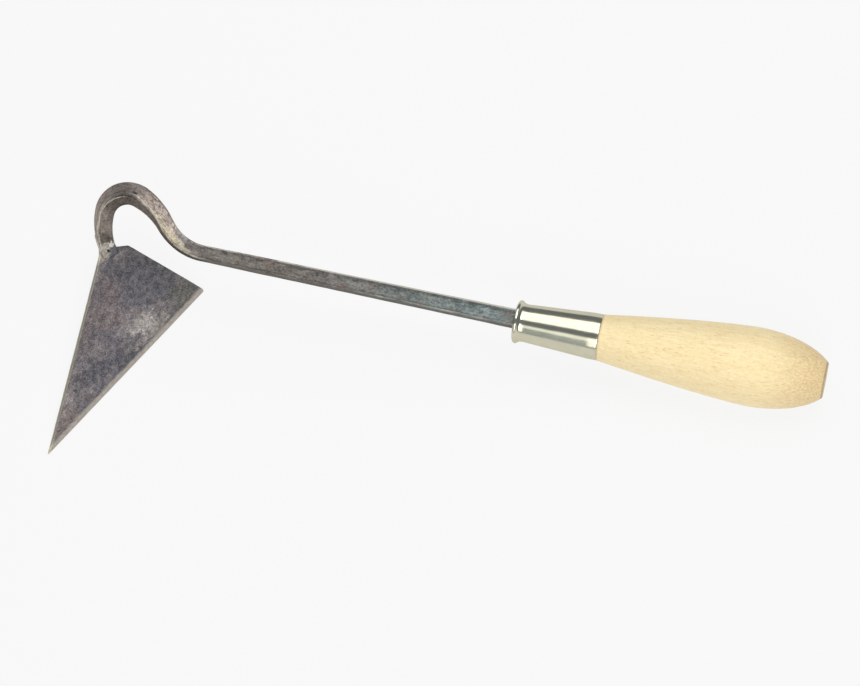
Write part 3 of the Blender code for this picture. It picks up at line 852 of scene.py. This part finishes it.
def shank_finish():
    f = Finish("forged_bar_steel")
    length, u, v = f.axis(0), f.axis(1), f.axis(2)
    straight = f.mix(f.span(length, 20 * MM, 110 * MM), (0.146, 0.172, 0.172), (0.150, 0.136, 0.125))
    colour = f.mix(f.span(length, 146 * MM, 160 * MM), straight, (0.310, 0.262, 0.234))
    cloud = f.noise(4 * MM, 6.0, 0.72, stretch=(1.9, 1.0, 1.0), shift=1.0)
    colour = f.mix(1.0, colour, f.span(cloud, 0.32, 0.68, 0.74, 1.26), "MULTIPLY")
    streak = f.noise(0.9 * MM, 3.0, 0.6, stretch=(9.0, 1.0, 1.0), shift=8.0)
    streaked = f.mix(1.0, colour, f.span(streak, 0.3, 0.7, 0.87, 1.13), "MULTIPLY")
    colour = f.mix(f.span(length, 150 * MM, 175 * MM, 1.0, 0.35), colour, streaked)
    rust = f.noise(4 * MM, 6.0, 0.68, stretch=(1.6, 1.0, 1.0), shift=12.0)
    colour = f.mix(f.span(rust, 0.50, 0.62, 0.0, 0.45), colour, (0.175, 0.115, 0.098))
    scale = f.noise(2.0 * MM, 6.0, 0.72, stretch=(1.7, 1.0, 1.0), shift=4.0)
    edge_scale = f.math("MULTIPLY", f.span(u, 0.5 * MM, 2.2 * MM), f.span(u, 3.4 * MM, 2.6 * MM))
    edge_scale = f.math("MULTIPLY", edge_scale, f.span(length, 128 * MM, 112 * MM, 0.45, 1.0))
    dark = f.math("ADD", scale, f.math("MULTIPLY", edge_scale, 0.20))
    colour = f.mix(f.span(dark, 0.55, 0.64, 0.0, 0.6), colour, (0.048, 0.050, 0.056))
    # Painted shade: the inner face, which is the lower face along the straight, is darkened to 0.72 there, to 0.48
    # round the loop and to 0.74 by the foot.
    inner = f.math("MULTIPLY", f.span(u, -3.0 * MM, -3.3 * MM), f.span(v, -2.9 * MM, -2.2 * MM))
    shade = f.span(length, 206 * MM, 214 * MM, f.span(length, 184 * MM, 192 * MM, 0.72, 0.48), 0.74)
    colour = f.mix(inner, colour, f.mix(1.0, colour, shade, "MULTIPLY"))
    for centre, radii, share, tint in (
        # Painted highlight: the next three rows put a bright yellowish patch on the main face at the neck's bend.
        ((168.0, -2.2, -3.5), (7.5, 1.0, 1.5), 0.62, (0.272, 0.240, 0.150)),
        ((161.0, -1.5, -3.5), (6.0, 1.5, 1.5), 0.62, (0.270, 0.240, 0.160)),
        ((156.5, -2.2, -3.5), (4.0, 1.0, 1.5), 0.45, (0.36, 0.325, 0.26)),
        ((153.0, 0.9, -3.5), (5.5, 1.6, 1.5), 0.75, (0.085, 0.082, 0.086)),
        ((161.0, 1.5, -3.5), (5.0, 1.2, 1.5), 0.65, (0.095, 0.102, 0.115)),
        ((172.0, 0.8, -3.5), (6.0, 1.2, 1.5), 0.50, (0.14, 0.125, 0.115)),
        ((203.0, 0.6, -3.5), (16.0, 3.2, 1.5), 0.50, (0.400, 0.345, 0.310)),
        # Painted shade: the next two rows darken the inner side round the top of the loop, near black at its
        # darkest.
        ((189.5, -1.9, -3.5), (1.2, 0.7, 1.2), 0.85, (0.04, 0.035, 0.035)),
        ((195.0, -3.5, -2.6), (9.0, 1.5, 0.9), 0.65, (0.10, 0.086, 0.078)),
        ((225.0, -3.5, 0.6), (3.4, 1.5, 1.8), 0.50, (0.06, 0.050, 0.045)),
    ):
        place = f.spot(centre, radii, 0.5, 2.4, centre[0])
        colour = f.mix(f.math("MULTIPLY", place, share), colour, tint)
    foot = f.span(length, 227.4 * MM, 229.0 * MM)
    foot = f.math("MULTIPLY", foot, f.span(v, 1.4 * MM, 0.2 * MM, 0.25, 0.9))
    colour = f.mix(foot, colour, (0.40, 0.35, 0.30))
    speckle = f.noise(0.75 * MM, 4.0, 0.8, stretch=(1.5, 1.0, 1.0))
    colour = f.mix(1.0, colour, f.span(speckle, 0.32, 0.70, 0.58, 1.42), "MULTIPLY")
    least = f.math("MINIMUM", f.math("ABSOLUTE", u), f.math("ABSOLUTE", v))
    wear_and_highlight = f.span(least, 2.55 * MM, 3.1 * MM)
    wear_and_highlight = f.math("MULTIPLY", wear_and_highlight, f.span(v, 2.0 * MM, -1.0 * MM, 0.15, 1.0))
    wear_and_highlight = f.math("MULTIPLY", wear_and_highlight, f.span(length, 200 * MM, 180 * MM, 0.55, 1.0))
    patchy = f.noise(2.4 * MM, 5.0, 0.7, stretch=(3.0, 1.0, 1.0), shift=15.0)
    patchy = f.span(patchy, 0.36, 0.62, 0.15, 0.85)
    # Painted highlight: upper makes the light edge colour unbroken along the top edge of the straight bar, and outer
    # raises it along the loop's outer edge; elsewhere it is patchy edge wear.
    upper = f.math("MULTIPLY", f.span(u, 0.0, 1.0 * MM), f.span(length, 112 * MM, 96 * MM))
    outer = f.math("MULTIPLY", f.span(u, 0.0, 1.0 * MM), f.span(length, 184 * MM, 198 * MM))
    patchy = f.math("MAXIMUM", patchy, f.math("MULTIPLY", outer, 0.60))
    wear_and_highlight = f.math("MULTIPLY", wear_and_highlight, f.math("MAXIMUM", patchy, f.math("MULTIPLY", upper, 0.95)))
    low_ridge = f.math("MULTIPLY", f.span(u, 0.0, -1.0 * MM), f.span(length, 186 * MM, 194 * MM))
    wear_and_highlight = f.math("MULTIPLY", wear_and_highlight, f.span(low_ridge, 0.0, 1.0, 1.0, 0.35))
    plain = f.math("MULTIPLY", f.span(u, 0.0, -1.0 * MM), f.span(length, 150 * MM, 140 * MM))
    faint = f.span(length, 60 * MM, 95 * MM, 0.60, 0.18)
    wear_and_highlight = f.math("MULTIPLY", wear_and_highlight, f.span(plain, 0.0, 1.0, 1.0, faint))
    broken = f.span(f.noise(1.5 * MM, 4.0, 0.7, shift=18.0), 0.38, 0.58, 0.35, 1.0)
    for centre, radii in (
        ((199.0, -3.5, -1.6), (6.0, 1.2, 0.18)),
        ((206.0, -3.5, -2.1), (5.5, 1.2, 0.18)),
        ((213.0, -3.5, -2.6), (6.0, 1.2, 0.20)),
        ((220.5, -3.2, -3.2), (5.0, 1.2, 0.26)),
        ((226.5, -3.5, -2.7), (3.6, 1.2, 0.24)),
    ):
        ridge = f.math("MULTIPLY", f.spot(centre, radii, 0.5, 0.8, centre[0]), broken)
        wear_and_highlight = f.math("MAXIMUM", wear_and_highlight, f.math("MULTIPLY", ridge, 0.9))
    # Light edge colour: worn edges, with the painted highlight on the top and outer edges.
    colour = f.mix(wear_and_highlight, colour, (0.62, 0.58, 0.49))
    f.bump(((speckle, 0.02 * MM), (scale, 0.06 * MM)))
    f.shader.inputs["Specular Tint"].default_value = (0.62, 0.59, 0.55, 1.0)
    rough = f.span(wear_and_highlight, 0.0, 1.0, f.span(scale, 0.4, 0.7, 0.36, 0.5), 0.58)
    return f.done(colour, rough, f.span(wear_and_highlight, 0.0, 1.0, 0.9, 0.45))


def weld_finish():
    f = Finish("weld_metal")
    lumps = f.noise(1.8 * MM, 5.0, 0.62, shift=1.5)
    colour = f.mix(f.span(lumps, 0.35, 0.65), (0.30, 0.26, 0.23), (0.58, 0.53, 0.46))
    across = f.vector("DOT_PRODUCT", f.place, (0.695, -0.719, 0.0))
    ragged = f.math("MULTIPLY", f.math("SUBTRACT", f.noise(2.0 * MM, 4.0, 0.6, shift=4.0), 0.5), 3 * MM)
    right = f.span(f.math("ADD", across, ragged), 28.4 * MM, 29.8 * MM)
    colour = f.mix(right, colour, (0.170, 0.164, 0.172))
    for place, _ in WELD_DROPS:
        drop = f.spot(tuple(on_bar(*place)), (1.0, 1.2, 1.0), 0.3, 0.6, place[0])
        colour = f.mix(drop, colour, (0.80, 0.76, 0.72))
    # Painted shade: the pit in the weld is coloured near black.
    pit = f.spot(tuple(on_bar(*WELD_PIT)), (0.55, 0.95, 1.4), 0.45, 2.4, 6.0)
    colour = f.mix(pit, colour, (0.012, 0.012, 0.013))
    speckle = f.noise(0.7 * MM, 3.0, 0.7, shift=9.0)
    colour = f.mix(1.0, colour, f.span(speckle, 0.30, 0.72, 0.70, 1.25), "MULTIPLY")
    f.bump(((lumps, 0.10 * MM), (speckle, 0.03 * MM)))
    return f.done(colour, f.span(lumps, 0.3, 0.7, 0.5, 0.34), 0.9)


def ferrule_finish():
    f = Finish("bright_plating")
    cloud = f.noise(6 * MM, 4.0, 0.55, shift=2.5)
    colour = f.mix(f.span(cloud, 0.3, 0.7), (0.585, 0.562, 0.440), (0.625, 0.600, 0.475))
    scratch = f.noise(0.35 * MM, 3.0, 0.6, stretch=(1.0, 1.0, 14.0), shift=6.0)
    f.bump(((scratch, 0.0016 * MM), (f.noise(4 * MM, 2.0), 0.02 * MM)))
    f.shader.inputs["Specular Tint"].default_value = (0.80, 0.78, 0.68, 1.0)
    return f.done(colour, f.span(scratch, 0.4, 0.75, 0.16, 0.24), 1.0)


def wood_finish():
    f = Finish("pale_sanded_beech")
    place = f.axis(2)
    grain = f.noise(1.3 * MM, 4.0, 0.6, stretch=(1.0, 1.0, 8.0), shift=1.0)
    colour = f.mix(f.span(grain, 0.25, 0.75), (0.830, 0.648, 0.352), (0.898, 0.752, 0.458))
    mottle = f.noise(0.9 * MM, 3.0, 0.7, stretch=(1.0, 1.0, 1.6), shift=14.0)
    colour = f.mix(1.0, colour, f.span(mottle, 0.3, 0.7, 0.96, 1.04), "MULTIPLY")
    pores = f.noise(0.34 * MM, 2.0, 0.5, stretch=(1.0, 1.0, 4.0), shift=11.0)
    colour = f.mix(f.span(pores, 0.58, 0.74, 0.0, 0.26), colour, (0.60, 0.41, 0.18))
    fleck = f.noise(0.58 * MM, 2.0, 0.5, stretch=(1.0, 1.0, 4.5), shift=3.0)
    colour = f.mix(f.span(fleck, 0.58, 0.70, 0.0, 0.42), colour, (0.60, 0.37, 0.13))
    dome = f.span(place, BELLY_PLACE + 2 * MM, BUTT_PLACE - 4 * MM)
    colour = f.mix(f.math("MULTIPLY", dome, 0.42), colour, (0.60, 0.395, 0.18))
    hatch = f.noise(0.62 * MM, 3.0, 0.6, stretch=(1.0, 1.0, 3.2), shift=25.0)
    hatch = f.span(hatch, 0.34, 0.66, 0.86, 1.12)
    colour = f.mix(dome, colour, f.mix(1.0, colour, hatch, "MULTIPLY"))
    across = f.vector("MULTIPLY", f.place, (1.0, 1.0, 0.0))
    radius = f.vector("LENGTH", across, (0.0, 0.0, 0.0))
    rim = f.math("MULTIPLY", f.span(place, BUTT_PLACE - 0.9 * MM, BUTT_PLACE - 0.5 * MM), f.span(radius, 6.7 * MM, 7.2 * MM))
    rim = f.math("MULTIPLY", rim, f.span(f.axis(0), -4.0 * MM, 5.0 * MM, 0.45, 0.8))
    colour = f.mix(rim, colour, (0.15, 0.072, 0.045))
    f.bump(((pores, -0.03 * MM), (fleck, -0.03 * MM), (grain, 0.03 * MM)))
    return f.done(colour, f.span(grain, 0.3, 0.7, 0.46, 0.56), 0.0)


# ---------------------------------------------------------------- studio

def make_floor():
    mesh = bpy.data.meshes.new("floor")
    half = 4.0
    mesh.from_pydata([(-half, -half, 0), (half, -half, 0), (half, half, 0), (-half, half, 0)], [], [(0, 1, 2, 3)])
    paper = bpy.data.materials.new("floor_paper")
    paper.use_nodes = True
    shader = paper.node_tree.nodes["Principled BSDF"]
    shader.inputs["Base Color"].default_value = (0.07, 0.07, 0.07, 1.0)
    shader.inputs["Roughness"].default_value = 0.9
    shader.inputs["Specular IOR Level"].default_value = 0.0
    shader.inputs["Emission Color"].default_value = (1.0, 1.0, 1.0, 1.0)
    shader.inputs["Emission Strength"].default_value = 0.866
    mesh.materials.append(paper)
    floor = bpy.data.objects.new("floor", mesh)
    bpy.context.scene.collection.objects.link(floor)


def softbox(name, angles, reach, radiance, tint, skew=0.0):
    """An area light round the ferrule's axis: its angles from the view, in degrees, and its reach along the axis."""
    low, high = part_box("ferrule")
    target = (low + high) / 2
    axis = HANDLE_FRAME.col[2].xyz
    view = (CAMERA.matrix_world.translation - target).normalized()
    middle, spread = math.radians(sum(angles) / 2), math.radians(abs(angles[1] - angles[0]))
    back = Matrix.Rotation(-middle, 3, axis) @ (view - axis * view.dot(axis)).normalized()
    width = reach[1] - reach[0]
    height = 2 * LIGHT_DISTANCE * math.tan(spread / 2)
    light = bpy.data.lights.new(name, "AREA")
    light.shape = "RECTANGLE"
    light.size = width
    light.size_y = height
    light.energy = radiance * width * height * math.pi
    light.color = tint
    obj = bpy.data.objects.new(name, light)
    turn = Matrix((axis, back.cross(axis), back)).transposed() @ Matrix.Rotation(math.radians(skew), 3, "Z")
    place = target + back * LIGHT_DISTANCE + axis * (reach[0] + reach[1]) / 2
    obj.matrix_world = Matrix.Translation(place) @ turn.to_4x4()
    bpy.context.scene.collection.objects.link(obj)


def make_lights():
    """Two broad softboxes, one behind the tool and one in front by the handle, with dimmer panels."""
    softbox("back_softbox", (17.0, 71.0), (-1.4, 0.8), 1.85, (1.0, 0.99, 0.94))
    softbox("front_softbox", (-56.0, -14.0), (-0.285, 0.95), 1.75, (1.0, 0.99, 0.95), 1.5)
    softbox("front_strip", (-31.0, -15.0), (-1.4, -0.265), 1.15, (1.0, 1.0, 0.97))
    softbox("front_panel", (-62.0, -32.0), (-1.4, -0.27), 0.26, (0.85, 1.0, 1.0))
    softbox("back_key", (20.0, 42.0), (0.25, 0.80), 4.15, (1.0, 0.98, 0.93))
    softbox("front_key", (-38.0, -14.0), (0.25, 0.80), 4.6, (1.0, 0.98, 0.93))
    softbox("low_panel", (-80.0, -63.0), (-1.4, 0.95), 0.52, (1.0, 1.0, 0.97))
    world = bpy.data.worlds.new("studio")
    world.use_nodes = True
    world.node_tree.nodes["Background"].inputs["Color"].default_value = (0.78, 0.87, 1.0, 1.0)
    world.node_tree.nodes["Background"].inputs["Strength"].default_value = 0.24
    bpy.context.scene.world = world


def make_camera():
    data = bpy.data.cameras.new("camera")
    data.lens = CAMERA_LENS
    data.sensor_width = CAMERA_SENSOR
    data.clip_start = 0.01
    camera = bpy.data.objects.new("camera", data)
    azimuth, elevation = math.radians(CAMERA_AZIMUTH), math.radians(CAMERA_ELEVATION)
    back = Vector((math.sin(azimuth) * math.cos(elevation), -math.cos(azimuth) * math.cos(elevation), math.sin(elevation)))
    centre = (cad_box[0] + cad_box[1]) / 2 + CAMERA_TARGET
    turn = back.to_track_quat("Z", "Y").to_matrix().to_4x4()
    roll = Matrix.Rotation(-math.radians(CAMERA_ROLL), 4, "Z")
    camera.matrix_world = Matrix.Translation(centre + back * CAMERA_DISTANCE) @ turn @ roll
    bpy.context.scene.collection.objects.link(camera)
    bpy.context.scene.camera = camera
    bpy.context.scene.view_settings.view_transform = "Standard"
    bpy.context.view_layer.update()
    return camera


CAMERA = make_camera()
make_floor()
make_lights()
make_shank(shank_finish())
make_blade(blade_finish())
make_welds(weld_finish())
make_ferrule(ferrule_finish())
make_handle(wood_finish())
